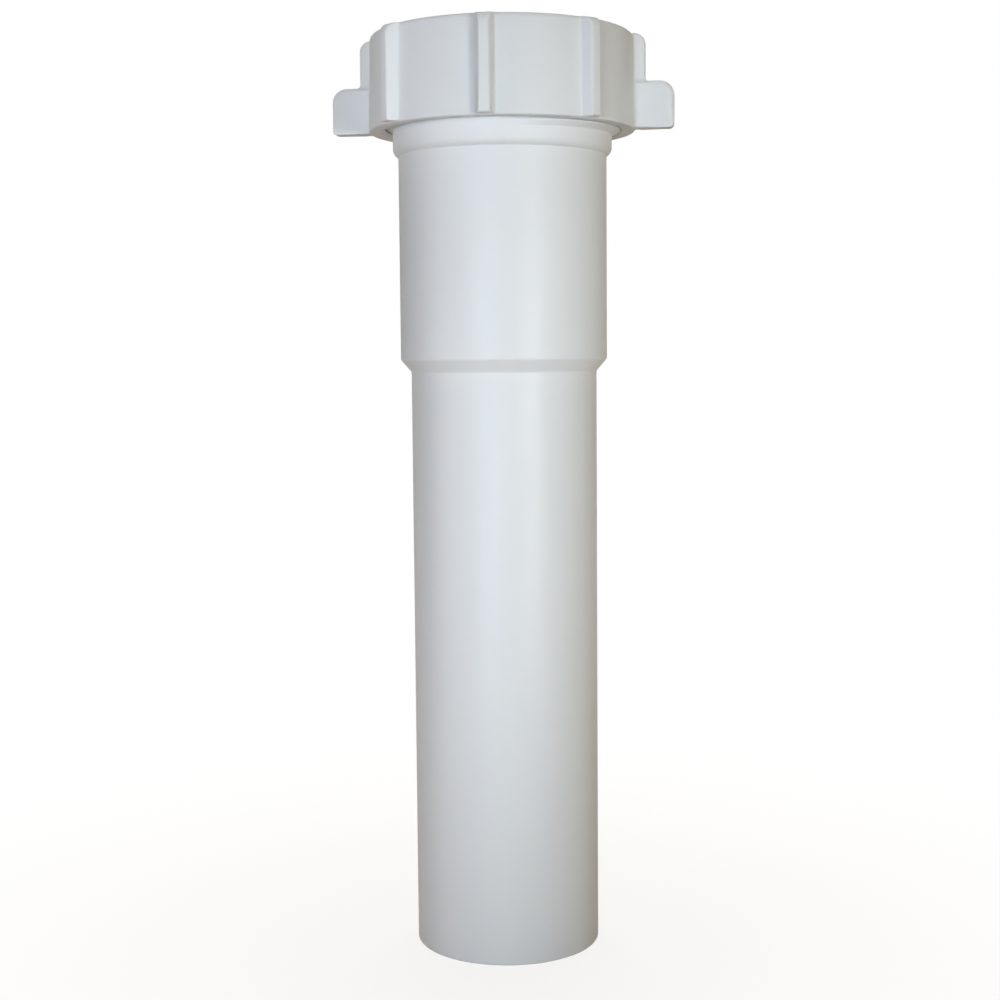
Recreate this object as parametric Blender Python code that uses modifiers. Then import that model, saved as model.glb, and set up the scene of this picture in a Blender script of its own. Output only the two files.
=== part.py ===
"""Drain extension tube with its slip nut and slip washer.

The tube stands on its plain end, with its axis on +Z and the nut's wings along X. All lengths are in metres.
The tail goes into the slip joint below it. The socket takes the pipe above it, which the nut and the tapered
washer seal. The nut's female thread is cut from the same helix as the tube's male thread, so it winds up
the tube by one pitch for each turn to the left.
"""
from math import cos, floor, pi, radians, sin, sqrt, tau

import bmesh
import bpy
from mathutils import Vector

# Pipe that the whole fitting is made for: 1-1/2 inch tubular drain
PIPE_RADIUS = 0.01905

# Tube, from the plain end up
TAIL_WALL = 0.0018
TAIL_LENGTH = 0.1192
SHOULDER_RISE = 0.0025
STOP_RISE = 0.0028
SOCKET_CLEARANCE = 0.00025
SOCKET_WALL = 0.0019
SOCKET_LENGTH = 0.041
COLLAR_STEP = 0.00107
COLLAR_CHAMFER_RISE = 0.00115
COLLAR_LENGTH = 0.00235
MOUTH_BEVEL_DEPTH = 0.0025
MOUTH_RIM_WIDTH = 0.0009
PLAIN_END_ROUND = 0.0004
BORE_ROUND = 0.0003
SHOULDER_ROUND = 0.0006
SHOULDER_FOOT_ROUND = 0.0005
COLLAR_ROUND = 0.0003
MOUTH_EDGE_ROUND = 0.0003

# Slip joint thread
INCH = 0.0254
THREADS_PER_INCH = 11.5
THREAD_LENGTH = 0.0153
THREAD_HEIGHT = 0.0018
THREAD_CREST_FLAT = 0.00022
THREAD_ROOT_FLAT = 0.00015
THREAD_END_MARGIN = 0.0003
THREAD_CLEARANCE = 0.0002
THREAD_ROOT_SINK_SHARE = 0.6
THREAD_START_STEP = -15
THREAD_RUNOUT_STEPS = 12

# Slip nut
NUT_HEIGHT = 0.019
NUT_WALL = 0.00223
NUT_DRAFT = 0.0003
NUT_LIP_THICKNESS = 0.0024
NUT_HOLE_CLEARANCE = 0.0007
NUT_ENTRY_RISE = 0.0015
NUT_THREAD_CREST_FLAT = 0.0003
NUT_RELIEF_CLEARANCE = 0.0004
NUT_RELIEF_HEIGHT = 0.0032
NUT_TOP_ROUND = 0.001
NUT_EDGE_ROUND = 0.0004
NUT_CUT_OVERRUN = 0.0002

# Grip ribs and wings
RIB_COUNT = 8
WING_COUNT = 2
RIB_HEIGHT = 0.0021
RIB_OUTER_WIDTH = 0.0021
RIB_ROOT_WIDTH = 0.0043
RIB_END_SETBACK = 0.0002
RIB_TOP_ROUND = 0.002
RIB_FOOT_ROUND = 0.0006
RIB_EDGE_ROUND = 0.00035
WING_REACH = 0.0058
WING_HEIGHT = 0.0093
WING_FOOT_RISE = 0.00015
WING_TIP_WIDTH = 0.0032
WING_ROOT_WIDTH = 0.0044
WING_TOP_ROUND = 0.0028
WING_FOOT_ROUND = 0.0009
WING_EDGE_ROUND = 0.0006
FIN_SINK = 0.001

# Slip washer
WASHER_FLANGE_THICKNESS = 0.0021
WASHER_GRIP_CLEARANCE = 0.00015
WASHER_TIP_WIDTH = 0.0004
WASHER_EASE = 0.0003
WASHER_ROUND = 0.0003
SEAT_GAP = 0.0003

# Finish
SEGMENTS = 64
FINE_ARC_STEPS = 2
BROAD_ARC_STEPS = 4
BROAD_ROUND = 0.0009
ROUND_EDGE_STEPS = 2
MERGE_DISTANCE = 0.0000005
SHARP_ANGLE = radians(32)
TUBE_COLOUR = (0.80, 0.80, 0.82, 1.0)
TUBE_ROUGHNESS = 0.34
NUT_COLOUR = (0.78, 0.79, 0.82, 1.0)
NUT_ROUGHNESS = 0.32
WASHER_COLOUR = (0.86, 0.86, 0.84, 1.0)
WASHER_ROUGHNESS = 0.45

# Radii of the tube
TAIL_BORE_RADIUS = PIPE_RADIUS - TAIL_WALL
SOCKET_BORE_RADIUS = PIPE_RADIUS + SOCKET_CLEARANCE
SOCKET_RADIUS = SOCKET_BORE_RADIUS + SOCKET_WALL
CORE_RADIUS = SOCKET_RADIUS + COLLAR_STEP
MOUTH_RADIUS = CORE_RADIUS - MOUTH_RIM_WIDTH

# Heights of the tube
SHOULDER_TOP = TAIL_LENGTH + SHOULDER_RISE
PIPE_STOP = TAIL_LENGTH + STOP_RISE
COLLAR_FOOT = SHOULDER_TOP + SOCKET_LENGTH
COLLAR_TOP = COLLAR_FOOT + COLLAR_CHAMFER_RISE
THREAD_FOOT = COLLAR_TOP + COLLAR_LENGTH
TUBE_TOP = THREAD_FOOT + THREAD_LENGTH

# Thread form: a flank runs from half the root width at the core to half the crest width at the crest
PITCH = INCH / THREADS_PER_INCH
CREST_RADIUS = CORE_RADIUS + THREAD_HEIGHT
ROOT_HALF = (PITCH - THREAD_ROOT_FLAT) / 2
CREST_HALF = THREAD_CREST_FLAT / 2
FLANK_SLOPE = (ROOT_HALF - CREST_HALF) / THREAD_HEIGHT
FLANK_CLEARANCE = THREAD_CLEARANCE * sqrt(1 + FLANK_SLOPE * FLANK_SLOPE)
THREAD_START_CENTRE = THREAD_FOOT + ROOT_HALF

# Slip nut and washer, stacked on the tube's mouth
WASHER_FOOT = TUBE_TOP + SEAT_GAP
WASHER_TOP = WASHER_FOOT + WASHER_FLANGE_THICKNESS
NUT_TOP = WASHER_TOP + SEAT_GAP + NUT_LIP_THICKNESS
NUT_FOOT = NUT_TOP - NUT_HEIGHT
NUT_LIP_FOOT = NUT_TOP - NUT_LIP_THICKNESS
NUT_RELIEF_FOOT = NUT_LIP_FOOT - NUT_RELIEF_HEIGHT
NUT_CREST_HALF = (PITCH - NUT_THREAD_CREST_FLAT) / 2
NUT_BORE_RADIUS = CORE_RADIUS + (ROOT_HALF + FLANK_CLEARANCE - NUT_CREST_HALF) / FLANK_SLOPE
NUT_GROOVE_RADIUS = CREST_RADIUS + THREAD_CLEARANCE
NUT_RELIEF_RADIUS = CREST_RADIUS + NUT_RELIEF_CLEARANCE
NUT_TOP_RADIUS = NUT_RELIEF_RADIUS + NUT_WALL
NUT_FOOT_RADIUS = NUT_TOP_RADIUS + NUT_DRAFT
NUT_HOLE_RADIUS = PIPE_RADIUS + NUT_HOLE_CLEARANCE
RIB_RADIUS = NUT_FOOT_RADIUS + RIB_HEIGHT
WING_RADIUS = RIB_RADIUS + WING_REACH
WASHER_RADIUS = NUT_BORE_RADIUS - WASHER_EASE
WASHER_BORE_RADIUS = PIPE_RADIUS + WASHER_GRIP_CLEARANCE


def clear_scene():
    """Removes what the scene holds at the start."""
    for leftover in list(bpy.data.objects):
        bpy.data.objects.remove(leftover, do_unlink=True)


def new_collection(name):
    collection = bpy.data.collections.new(name)
    bpy.context.scene.collection.children.link(collection)
    return collection


def new_object(name, mesh, collection, height=0.0):
    piece = bpy.data.objects.new(name, mesh)
    piece.location.z = height
    collection.objects.link(piece)
    return piece


def new_cutter(name, mesh, collection, height=0.0):
    """A guide that shapes a piece and isn't part of the object."""
    cutter = new_object(name, mesh, collection, height)
    cutter.hide_render = True
    cutter.display_type = "WIRE"
    return cutter


def plastic(name, colour, roughness):
    material = bpy.data.materials.new(name)
    material.use_nodes = True
    shader = material.node_tree.nodes["Principled BSDF"]
    shader.inputs["Base Color"].default_value = colour
    shader.inputs["Roughness"].default_value = roughness
    shader.inputs["Metallic"].default_value = 0.0
    material.diffuse_color = colour
    return material


def rounded_corner(before, corner, after, radius):
    """Points of the arc that rounds one corner of an outline."""
    to_before = (before - corner).normalized()
    to_after = (after - corner).normalized()
    corner_angle = to_before.angle(to_after)
    tangent_length = radius * cos(corner_angle / 2) / sin(corner_angle / 2)
    centre = corner + (to_before + to_after).normalized() * (radius / sin(corner_angle / 2))
    start = corner + to_before * tangent_length - centre
    end = corner + to_after * tangent_length - centre
    sweep = pi - corner_angle
    steps = BROAD_ARC_STEPS if radius > BROAD_ROUND else FINE_ARC_STEPS
    points = []
    for step in range(steps + 1):
        part = step / steps
        spoke = (start * sin((1 - part) * sweep) + end * sin(part * sweep)) / sin(sweep)
        points.append(centre + spoke)
    return points


def outline(corners):
    """Closed (radius, height) outline. Each corner is (radius, height, rounding)."""
    places = [Vector((radius, height)) for radius, height, rounding in corners]
    points = []
    for index, place in enumerate(places):
        rounding = corners[index][2]
        if rounding > 0:
            before = places[index - 1]
            after = places[(index + 1) % len(places)]
            points += rounded_corner(before, place, after, rounding)
        else:
            points.append(place)
    return points


def turned(name, corners, collection, height=0.0):
    """A ring turned about Z from a closed outline, which runs down its outer side first."""
    points = outline(corners)
    count = len(points)
    mesh = bpy.data.meshes.new(name)
    edges = [(index, (index + 1) % count) for index in range(count)]
    mesh.from_pydata([(point.x, 0.0, point.y) for point in points], edges, [])
    piece = new_object(name, mesh, collection, height)
    screw = piece.modifiers.new("Turn", "SCREW")
    screw.axis = "Z"
    screw.angle = tau
    screw.steps = SEGMENTS
    screw.render_steps = SEGMENTS
    screw.use_merge_vertices = True
    screw.merge_threshold = MERGE_DISTANCE
    screw.use_smooth_shade = True
    return piece


def helix_centre(step):
    """Height of the thread's middle at one angular step."""
    return THREAD_START_CENTRE + PITCH * (step - THREAD_START_STEP) / SEGMENTS


def helical_solid(name, steps, section_at, datum):
    """A mesh lofted through the thread's sections, which are (radius, height) points at each step."""
    form = bmesh.new()
    rings = []
    for step in steps:
        angle = tau * step / SEGMENTS
        ring = []
        for radius, height in section_at(step):
            ring.append(form.verts.new((radius * cos(angle), radius * sin(angle), height - datum)))
        rings.append(ring)
    sides = len(rings[0])
    for ring, following in zip(rings, rings[1:]):
        for side in range(sides):
            other = (side + 1) % sides
            form.faces.new((ring[side], following[side], following[other], ring[other]))
    form.faces.new(rings[0])
    form.faces.new(reversed(rings[-1]))
    bmesh.ops.recalc_face_normals(form, faces=form.faces)
    mesh = bpy.data.meshes.new(name)
    form.to_mesh(mesh)
    form.free()
    return mesh


def ridge_steps():
    """Steps of the male thread, from its start at the collar to just under the tube's mouth."""
    last_centre = TUBE_TOP - THREAD_END_MARGIN - ROOT_HALF
    turns = (last_centre - THREAD_START_CENTRE) / PITCH
    return range(THREAD_START_STEP, THREAD_START_STEP + floor(turns * SEGMENTS) + 1)


def ridge_section(step):
    """Section of the male thread. It grows out of the core at its start and sinks back at its end."""
    steps = ridge_steps()
    from_end = min(step - steps[0], steps[-1] - step)
    growth = min(1.0, from_end / THREAD_RUNOUT_STEPS)
    sink = THREAD_ROOT_FLAT * THREAD_ROOT_SINK_SHARE
    foot = CORE_RADIUS - sink
    lowest_crest = CORE_RADIUS - sink / 2
    crest = lowest_crest + (CREST_RADIUS - lowest_crest) * growth
    foot_half = ROOT_HALF + FLANK_SLOPE * sink
    centre = helix_centre(step)
    return [
        (foot, centre - foot_half),
        (crest, centre - CREST_HALF),
        (crest, centre + CREST_HALF),
        (foot, centre + foot_half),
    ]


def groove_half(radius):
    """Half the height of the nut's groove at one radius."""
    return ROOT_HALF - FLANK_SLOPE * (radius - CORE_RADIUS) + FLANK_CLEARANCE


def groove_steps():
    """Steps of the female thread, from below the nut's foot to its relief."""
    first_centre = NUT_FOOT - PITCH
    last_centre = NUT_RELIEF_FOOT + PITCH / 2 + NUT_CUT_OVERRUN
    first = floor((first_centre - THREAD_START_CENTRE) / PITCH * SEGMENTS)
    last = floor((last_centre - THREAD_START_CENTRE) / PITCH * SEGMENTS)
    return range(THREAD_START_STEP + first, THREAD_START_STEP + last + 1)


def groove_section(step):
    """Section of the female thread's cut, a clearance away from the male thread all round."""
    inner = NUT_BORE_RADIUS - NUT_THREAD_CREST_FLAT / 2
    centre = helix_centre(step)
    return [
        (inner, centre - groove_half(inner)),
        (NUT_GROOVE_RADIUS, centre - groove_half(NUT_GROOVE_RADIUS)),
        (NUT_GROOVE_RADIUS, centre + groove_half(NUT_GROOVE_RADIUS)),
        (inner, centre + groove_half(inner)),
    ]


def add_boolean(piece, operation, operand):
    boolean = piece.modifiers.new(operand.name, "BOOLEAN")
    boolean.operation = operation
    boolean.solver = "EXACT"
    boolean.object = operand


def fins(name, corners, root, tip, edge_round, count, collection, height):
    """Radial fins evenly round the Z axis: a (radius, height) outline whose thickness tapers.

    root and tip are (radius, width) at the fin's foot and at its outer face.
    """
    points = outline(corners)
    form = bmesh.new()
    for index in range(count):
        angle = tau * index / count
        outward = Vector((cos(angle), sin(angle), 0.0))
        sideways = Vector((-sin(angle), cos(angle), 0.0))
        sides = []
        for side in (-1, 1):
            ring = []
            for point in points:
                along = (point.x - root[0]) / (tip[0] - root[0])
                half = (root[1] + (tip[1] - root[1]) * along) / 2
                place = outward * point.x + sideways * (side * half)
                ring.append(form.verts.new((place.x, place.y, point.y)))
            sides.append(ring)
        lower, upper = sides
        form.faces.new(lower)
        form.faces.new(reversed(upper))
        for corner in range(len(points)):
            after = (corner + 1) % len(points)
            form.faces.new((lower[after], lower[corner], upper[corner], upper[after]))
    bmesh.ops.recalc_face_normals(form, faces=form.faces)
    mesh = bpy.data.meshes.new(name)
    form.to_mesh(mesh)
    form.free()
    guide = new_cutter(name, mesh, collection, height)
    bevel = guide.modifiers.new("Soft edges", "BEVEL")
    bevel.width = edge_round
    bevel.segments = ROUND_EDGE_STEPS
    bevel.limit_method = "ANGLE"
    bevel.angle_limit = SHARP_ANGLE
    return guide


def make_tube(parts, cutters):
    """The moulded tube: tail, shoulder, socket, collar and male thread."""
    corners = [
        (CORE_RADIUS, TUBE_TOP, MOUTH_EDGE_ROUND),
        (CORE_RADIUS, COLLAR_TOP, COLLAR_ROUND),
        (SOCKET_RADIUS, COLLAR_FOOT, COLLAR_ROUND),
        (SOCKET_RADIUS, SHOULDER_TOP, SHOULDER_ROUND),
        (PIPE_RADIUS, TAIL_LENGTH, SHOULDER_FOOT_ROUND),
        (PIPE_RADIUS, 0.0, PLAIN_END_ROUND),
        (TAIL_BORE_RADIUS, 0.0, PLAIN_END_ROUND),
        (TAIL_BORE_RADIUS, PIPE_STOP, BORE_ROUND),
        (SOCKET_BORE_RADIUS, PIPE_STOP, 0.0),
        (SOCKET_BORE_RADIUS, TUBE_TOP - MOUTH_BEVEL_DEPTH, BORE_ROUND),
        (MOUTH_RADIUS, TUBE_TOP, 0.0),
    ]
    tube = turned("extension_tube", corners, parts)
    ridge_mesh = helical_solid("male_thread", ridge_steps(), ridge_section, 0.0)
    add_boolean(tube, "UNION", new_cutter("male_thread", ridge_mesh, cutters))
    tube.data.materials.append(plastic("white_polypropylene", TUBE_COLOUR, TUBE_ROUGHNESS))
    return tube


def make_nut(parts, cutters):
    """The slip nut: a threaded cup with a holed lid, grip ribs and two wings. Its foot is at its origin."""
    top = NUT_TOP - NUT_FOOT
    lip_foot = NUT_LIP_FOOT - NUT_FOOT
    relief_foot = NUT_RELIEF_FOOT - NUT_FOOT
    relief_step = NUT_RELIEF_RADIUS - NUT_BORE_RADIUS
    corners = [
        (NUT_TOP_RADIUS, top, NUT_TOP_ROUND),
        (NUT_FOOT_RADIUS, 0.0, NUT_EDGE_ROUND),
        (NUT_RELIEF_RADIUS, 0.0, 0.0),
        (NUT_BORE_RADIUS, NUT_ENTRY_RISE, 0.0),
        (NUT_BORE_RADIUS, relief_foot - relief_step, 0.0),
        (NUT_RELIEF_RADIUS, relief_foot, 0.0),
        (NUT_RELIEF_RADIUS, lip_foot, 0.0),
        (NUT_HOLE_RADIUS, lip_foot, 0.0),
        (NUT_HOLE_RADIUS, top, NUT_EDGE_ROUND),
    ]
    nut = turned("slip_nut", corners, parts, NUT_FOOT)

    fin_root = NUT_TOP_RADIUS - FIN_SINK
    rib_top = top - RIB_END_SETBACK
    rib_corners = [
        (RIB_RADIUS, rib_top, RIB_TOP_ROUND),
        (RIB_RADIUS, RIB_END_SETBACK, RIB_FOOT_ROUND),
        (fin_root, RIB_END_SETBACK, 0.0),
        (fin_root, rib_top, 0.0),
    ]
    rib_root = (NUT_FOOT_RADIUS, RIB_ROOT_WIDTH)
    rib_tip = (RIB_RADIUS, RIB_OUTER_WIDTH)
    ribs = fins("grip_ribs", rib_corners, rib_root, rib_tip, RIB_EDGE_ROUND, RIB_COUNT, cutters, NUT_FOOT)
    add_boolean(nut, "UNION", ribs)

    wing_top = WING_FOOT_RISE + WING_HEIGHT
    wing_corners = [
        (WING_RADIUS, wing_top, WING_TOP_ROUND),
        (WING_RADIUS, WING_FOOT_RISE, WING_FOOT_ROUND),
        (fin_root, WING_FOOT_RISE, 0.0),
        (fin_root, wing_top, 0.0),
    ]
    wing_root = (NUT_FOOT_RADIUS, WING_ROOT_WIDTH)
    wing_tip = (WING_RADIUS, WING_TIP_WIDTH)
    wings = fins("wings", wing_corners, wing_root, wing_tip, WING_EDGE_ROUND, WING_COUNT, cutters, NUT_FOOT)
    add_boolean(nut, "UNION", wings)

    groove_mesh = helical_solid("female_thread", groove_steps(), groove_section, NUT_FOOT)
    add_boolean(nut, "DIFFERENCE", new_cutter("female_thread", groove_mesh, cutters, NUT_FOOT))
    nut.data.materials.append(plastic("white_nut_plastic", NUT_COLOUR, NUT_ROUGHNESS))
    return nut


def make_washer(parts):
    """The tapered washer: a flat flange over the tube's rim and a cone in its bevelled mouth."""
    bevel_run = MOUTH_RADIUS - SOCKET_BORE_RADIUS
    cone_slope = MOUTH_BEVEL_DEPTH / bevel_run
    cone_lift = SEAT_GAP * sqrt(1 + cone_slope * cone_slope)
    flange_radius = MOUTH_RADIUS - (cone_lift - SEAT_GAP) / cone_slope
    tip_radius = WASHER_BORE_RADIUS + WASHER_TIP_WIDTH
    tip = (tip_radius - flange_radius) * cone_slope
    corners = [
        (WASHER_RADIUS, WASHER_FLANGE_THICKNESS, WASHER_ROUND),
        (WASHER_RADIUS, 0.0, WASHER_ROUND),
        (flange_radius, 0.0, 0.0),
        (tip_radius, tip, 0.0),
        (WASHER_BORE_RADIUS, tip, 0.0),
        (WASHER_BORE_RADIUS, WASHER_FLANGE_THICKNESS, WASHER_ROUND),
    ]
    washer = turned("slip_washer", corners, parts, WASHER_FOOT)
    washer.data.materials.append(plastic("natural_polyethylene", WASHER_COLOUR, WASHER_ROUGHNESS))
    return washer


def settle(piece):
    """Applies the modifiers, then shades the piece smooth with its true edges kept sharp."""
    evaluated = piece.evaluated_get(bpy.context.evaluated_depsgraph_get())
    shaped = bpy.data.meshes.new_from_object(evaluated)
    shaped.name = piece.name
    piece.modifiers.clear()
    piece.data = shaped
    form = bmesh.new()
    form.from_mesh(shaped)
    bmesh.ops.remove_doubles(form, verts=form.verts, dist=MERGE_DISTANCE)
    bmesh.ops.dissolve_degenerate(form, edges=form.edges, dist=MERGE_DISTANCE)
    form.to_mesh(shaped)
    form.free()
    shaped.shade_smooth()
    shaped.set_sharp_from_angle(angle=SHARP_ANGLE)


def main():
    clear_scene()
    parts = new_collection("drain_extension_tube")
    cutters = new_collection("cutters")
    pieces = [make_tube(parts, cutters), make_nut(parts, cutters), make_washer(parts)]
    bpy.context.view_layer.update()
    for piece in pieces:
        settle(piece)


main()
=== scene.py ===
from math import asin, atan, cos, pi, radians, sin, sqrt, tan, tau

import bpy
from mathutils import Matrix, Vector


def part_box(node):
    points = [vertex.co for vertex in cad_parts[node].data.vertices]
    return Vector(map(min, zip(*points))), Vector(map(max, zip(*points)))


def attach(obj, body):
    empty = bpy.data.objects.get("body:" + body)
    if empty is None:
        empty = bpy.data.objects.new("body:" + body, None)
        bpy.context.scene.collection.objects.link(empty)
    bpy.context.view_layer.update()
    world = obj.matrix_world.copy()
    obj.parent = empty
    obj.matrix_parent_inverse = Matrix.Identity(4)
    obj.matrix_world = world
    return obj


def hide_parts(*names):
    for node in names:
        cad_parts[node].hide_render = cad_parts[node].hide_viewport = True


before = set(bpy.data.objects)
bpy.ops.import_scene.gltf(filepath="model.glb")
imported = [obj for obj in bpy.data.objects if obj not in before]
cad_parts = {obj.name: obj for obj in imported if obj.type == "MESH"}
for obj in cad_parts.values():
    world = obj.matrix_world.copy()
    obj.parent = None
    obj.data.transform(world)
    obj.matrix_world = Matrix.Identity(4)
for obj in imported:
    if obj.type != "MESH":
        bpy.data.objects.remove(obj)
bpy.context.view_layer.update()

# Lengths are in metres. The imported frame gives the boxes, and the other sizes are the part's or the skins'
tube_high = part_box("extension_tube")[1]
nut_low, nut_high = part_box("slip_nut")
washer_low, washer_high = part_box("slip_washer")

# Camera, fitted to the photograph's silhouettes. The photograph is 1000 pixels wide
PHOTO_PIXELS = 1000.0
SENSOR_MM = 36.0
FOCAL_PIXELS = 1654.37
CAMERA_DISTANCE = 0.34247
CAMERA_HEIGHT = 0.12329
CAMERA_AZIMUTH = radians(6.75)
CAMERA_YAW = -0.0031
CAMERA_PITCH = 0.0896
CAMERA_ROLL = -0.0082
CAMERA_NEAR = 0.01
CAMERA_FAR = 20.0

# Tube
PIPE_RADIUS = 0.01905
TAIL_BORE = 0.01725
TAIL_LENGTH = 0.1192
SOCKET_BORE = 0.0193
SOCKET_RADIUS = 0.0212
CORE_RADIUS = 0.02227
MOUTH_RADIUS = 0.02137
SHOULDER_TOP = 0.1217
PIPE_STOP = 0.122
COLLAR_FOOT = 0.1627
COLLAR_TOP = 0.163143
THREAD_FOOT = 0.1662
TUBE_TOP = tube_high.z
MOUTH_BEVEL_DEPTH = 0.0025

# Roundings of the tube's edges
MOUTH_OUTER_ROUND = 0.0002
MOUTH_INNER_ROUND = 0.00015
BEVEL_FOOT_ROUND = 0.0006
STOP_CORNER_ROUND = 0.0002
STOP_EDGE_ROUND = 0.0003
TAIL_END_ROUND = 0.0004
SHOULDER_FOOT_ROUND = 0.0007
SHOULDER_TOP_ROUND = 0.0008
COLLAR_ROUND = 0.00171

# Thread, the same helix on the tube and in the nut. Its start and run-outs are in 64ths of a turn
INCH = 0.0254
THREADS_PER_INCH = 11.5
TURN_STEPS = 64
START_STEPS = 15
RUNOUT_STEPS = 12
PITCH = INCH / THREADS_PER_INCH
THREAD_HEIGHT = 0.0018
THREAD_ROOT_FLAT = 0.00015
THREAD_ROOT_ROUND = 0.0001
THREAD_CREST_ROUND = 0.00014
THREAD_END_MARGIN = 0.0003
ROOT_HALF = (PITCH - THREAD_ROOT_FLAT) / 2
CREST_HALF = 0.00011
FLANK_SLOPE = (ROOT_HALF - CREST_HALF) / THREAD_HEIGHT
THREAD_CLEARANCE = 0.0002
THREAD_START_CENTRE = THREAD_FOOT + ROOT_HALF
THREAD_START_ANGLE = -tau * START_STEPS / TURN_STEPS
THREAD_TOP_CENTRE = TUBE_TOP - THREAD_END_MARGIN - ROOT_HALF
RUNOUT_TURN = RUNOUT_STEPS / TURN_STEPS
THREAD_LEAD_IN = 0.0009
PLAIN_CORE_TOP = THREAD_FOOT - THREAD_LEAD_IN

# Slip washer
WASHER_RADIUS = washer_high.x
WASHER_BORE = 0.0192
WASHER_TIP_WIDTH = 0.0004
WASHER_CONE_RADIUS = 0.02123
WASHER_FLANGE_HEIGHT = 0.0021
WASHER_TIP_ROUND = 0.00012
WASHER_CONE_ROUND = 0.0002
WASHER_FLANGE_ROUND = 0.0003

# Slip nut, with heights over its foot
NUT_FOOT = nut_low.z
NUT_HEIGHT = nut_high.z - nut_low.z
NUT_FOOT_RADIUS = 0.027
NUT_DRAFT = 0.0003
NUT_FOOT_ROUND = 0.0004
NUT_TOP_ROUND = 0.001
NUT_RELIEF_RADIUS = 0.02447
NUT_BORE_RADIUS = 0.02287
NUT_GROOVE_RADIUS = 0.02427
NUT_ENTRY_RISE = 0.0015
NUT_LIP_HEIGHT = 0.0024
NUT_RELIEF_HEIGHT = 0.0032
NUT_LIP_FOOT = NUT_HEIGHT - NUT_LIP_HEIGHT
NUT_RELIEF_FOOT = NUT_LIP_FOOT - NUT_RELIEF_HEIGHT
NUT_HOLE_RADIUS = 0.01975
NUT_HOLE_ROUND = 0.0004
NUT_LIP_ROUND = 0.00015
NUT_RELIEF_ROUND = 0.0003

# Ribs and wings. A taper is what half the width loses from root to tip, an edge is the rounding along
# a fin, and a fillet joins the fin to the nut's side
RIB_COUNT = 8
WING_SPACING = RIB_COUNT // 2
RIB_RADIUS = nut_high.y
RIB_SETBACK = 0.0002
RIB_TOP = NUT_HEIGHT - RIB_SETBACK
RIB_ROOT_HALF = 0.0019
RIB_TAPER = 0.00085
RIB_FOOT_ROUND = 0.0004
RIB_TOP_ROUND = 0.002
RIB_EDGE = 0.0005
RIB_FILLET = 0.0003
WING_RADIUS = nut_high.x
WING_TOP = 0.00945
WING_ROOT_HALF = 0.0022
WING_TAPER = 0.0006
WING_FOOT_ROUND = 0.0009
WING_TOP_ROUND = 0.0028
WING_INNER_ROUND = 0.0007
WING_EDGE = 0.0009
WING_EDGE_STRETCH = 1.8
WING_FILLET = 0.0008

# Stations up the fins, from the foot. These are the plain side's heights there
FOOT_SIDES = (0.00036, 0.0004, 0.00044)
FOOT_ROUND_SIDES = (0.00052, 0.00062, 0.0008, 0.0011)
WING_TIP_SIDES = (0.0034, 0.0061)
WING_CORNER_SIDES = (0.00645, 0.0069, 0.0074, 0.0079, 0.00835, 0.0087)
WING_TOP_SIDES = (0.00876, 0.00882)
WING_INNER_SIDES = (0.00915, 0.00945, 0.0098, WING_TOP + WING_INNER_ROUND)
RIB_SIDES = (0.012, 0.0145, RIB_TOP - RIB_TOP_ROUND)
CROWN_STEPS = 6
CROWN_SIDE_SHARE = 0.85
CROWN_END_DROP = 0.00013

# Radii and heights of the fins' own points where they aren't rounded
RIB_FOOT_RADII = (0.0274, 0.028, RIB_RADIUS - RIB_FOOT_ROUND)
WING_FOOT_RADII = (0.0285, 0.0315, WING_RADIUS - WING_FOOT_ROUND)
WING_TIP_HEIGHTS = (0.0038, WING_TOP - WING_TOP_ROUND)
WING_TOP_RADII = (0.0308, RIB_RADIUS + WING_INNER_ROUND)
CROWN_END_RADIUS = 0.02672

# The station where the tips start, and those over which a wing turns into the rib above it
TIP_START = len(FOOT_SIDES + FOOT_ROUND_SIDES)
BLEND_START = TIP_START + len(WING_TIP_SIDES + WING_CORNER_SIDES + WING_TOP_SIDES) - 1
BLEND_STEPS = len(WING_INNER_SIDES)

# Shares of the edge rounding that the stations take, and the share of all above them
RIB_EDGE_SHARES = (0.13, 0.13, 0.13, 0.22, 0.34, 0.46, 0.58)
UPPER_RIB_EDGE_SHARE = 1.0
WING_EDGE_SHARES = (0.15, 0.15, 0.15, 0.35, 0.55, 0.72, 0.86, 1.0, 1.0, 0.97, 0.92, 0.86, 0.79, 0.72, 0.66)
UPPER_WING_EDGE_SHARE = 0.65

# Places of a fin section's points, as shares of its flat end, edge, flank and fillet
END_SHARES = (0.0, 0.4, 0.75, 1.0)
EDGE_SHARES = (0.25, 0.5, 0.75, 1.0)
FLANK_SHARES = (0.4, 0.75)
FILLET_SHARES = (0.25, 0.5, 0.75)
LARGEST_EDGE_SHARE = 0.4
LARGEST_FILLET_SHARE = 0.45

# Rings of the nut's plain faces, and rows of its bore
FOOT_RADII = (0.0246, 0.0251, 0.0259, 0.0266)
FOOT_HEIGHTS = (0.00003, 0.0001, RIB_SETBACK)
LID_DROPS = (RIB_SETBACK, 0.00012, 0.00005, 0.0)
LID_RADII = (0.0249, 0.0235, 0.0218)
BORE_ROW_HEIGHT = 0.00014

# Columns of faces round the pieces, and the angle from which an edge is shaded sharp
TUBE_COLUMNS = 192
GAP_COLUMNS = 11
SHARP_ANGLE = radians(50)
NUT_SHARP_ANGLE = radians(60)

# Plastics: optical values, then the spread of their noises and of their roughness
PLASTIC_IOR = 1.49
PLASTIC_GLEAM = 0.5
SCATTER_DEPTHS = (0.0025, 0.0022, 0.002)
NOISE_LOW = 0.3
NOISE_HIGH = 0.7
ROUGHNESS_DROP = 0.05
ROUGHNESS_RISE = 0.06

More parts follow.
